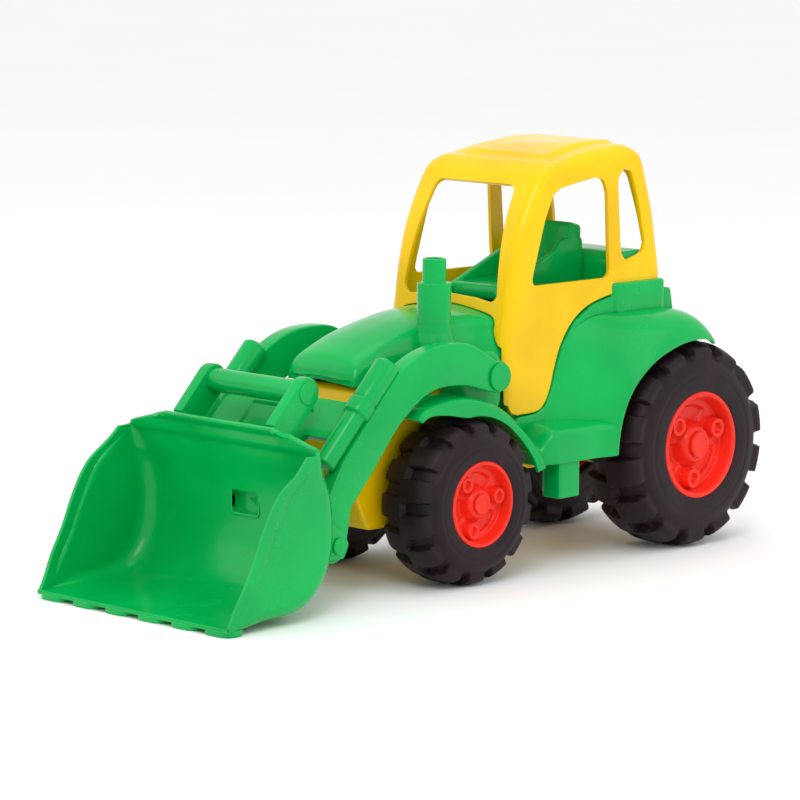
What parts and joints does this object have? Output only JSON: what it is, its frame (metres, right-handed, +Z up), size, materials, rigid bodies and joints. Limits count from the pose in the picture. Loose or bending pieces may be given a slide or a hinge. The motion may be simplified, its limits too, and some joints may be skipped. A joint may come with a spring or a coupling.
{
  "type": "toy front loader",
  "caption": "Moulded plastic toy wheel loader with an open cab, flared fenders, a lifting loader frame, a tilting toothed bucket with a grip bar and free-rolling lugged wheels.",
  "frame": {"origin": "on the floor under the middle of the whole toy, bucket included", "axes": "+Z up, -Y towards the bucket (forwards), +X towards the vehicle's left side"},
  "size_m": [0.183, 0.521, 0.2814],
  "materials": {
    "green_plastic": "glossy moulded",
    "yellow_plastic": "glossy moulded",
    "red_plastic": "glossy moulded",
    "tyre_plastic": "satin moulded",
    "axle_steel": "drawn wire"
  },
  "bodies": {
    "chassis": {"lower_chassis": "yellow_plastic", "upper_body": "green_plastic", "exhaust_stack": "green_plastic", "cab": "yellow_plastic", "driver_seat": "green_plastic", "lift_pin_left": "green_plastic", "lift_pin_right": "green_plastic", "front_axle": "axle_steel", "rear_axle": "axle_steel", "chassis_screws": "axle_steel"},
    "loader": {"loader_frame": "green_plastic"},
    "bucket": {"bucket": "green_plastic", "tilt_handle": "green_plastic", "tilt_pin_left": "green_plastic", "tilt_pin_right": "green_plastic"},
    "wheel_front_left": {"tyre_front_left": "tyre_plastic", "rim_front_left": "red_plastic", "hub_cap_front_left": "red_plastic"},
    "wheel_front_right": {"tyre_front_right": "tyre_plastic", "rim_front_right": "red_plastic", "hub_cap_front_right": "red_plastic"},
    "wheel_rear_left": {"tyre_rear_left": "tyre_plastic", "rim_rear_left": "red_plastic", "hub_cap_rear_left": "red_plastic"},
    "wheel_rear_right": {"tyre_rear_right": "tyre_plastic", "rim_rear_right": "red_plastic", "hub_cap_rear_right": "red_plastic"}
  },
  "joints": [
    {"name": "loader_lift", "type": "hinge", "parent": "chassis", "child": "loader", "pos_m": [0, 0.0013, 0.1351], "axis": [-1, 0, 0], "range_deg": [0, 45]},
    {"name": "bucket_tilt", "type": "hinge", "parent": "loader", "child": "bucket", "pos_m": [0, -0.15, 0.042], "axis": [1, 0, 0], "range_deg": [-6, 45]},
    {"name": "wheel_front_left_spin", "type": "hinge", "parent": "chassis", "child": "wheel_front_left", "pos_m": [0, -0.026, 0.055], "axis": [1, 0, 0], "continuous": true},
    {"name": "wheel_front_right_spin", "type": "hinge", "parent": "chassis", "child": "wheel_front_right", "pos_m": [0, -0.026, 0.055], "axis": [1, 0, 0], "continuous": true},
    {"name": "wheel_rear_left_spin", "type": "hinge", "parent": "chassis", "child": "wheel_rear_left", "pos_m": [0, 0.189, 0.0715], "axis": [1, 0, 0], "continuous": true},
    {"name": "wheel_rear_right_spin", "type": "hinge", "parent": "chassis", "child": "wheel_rear_right", "pos_m": [0, 0.189, 0.0715], "axis": [1, 0, 0], "continuous": true}
  ]
}
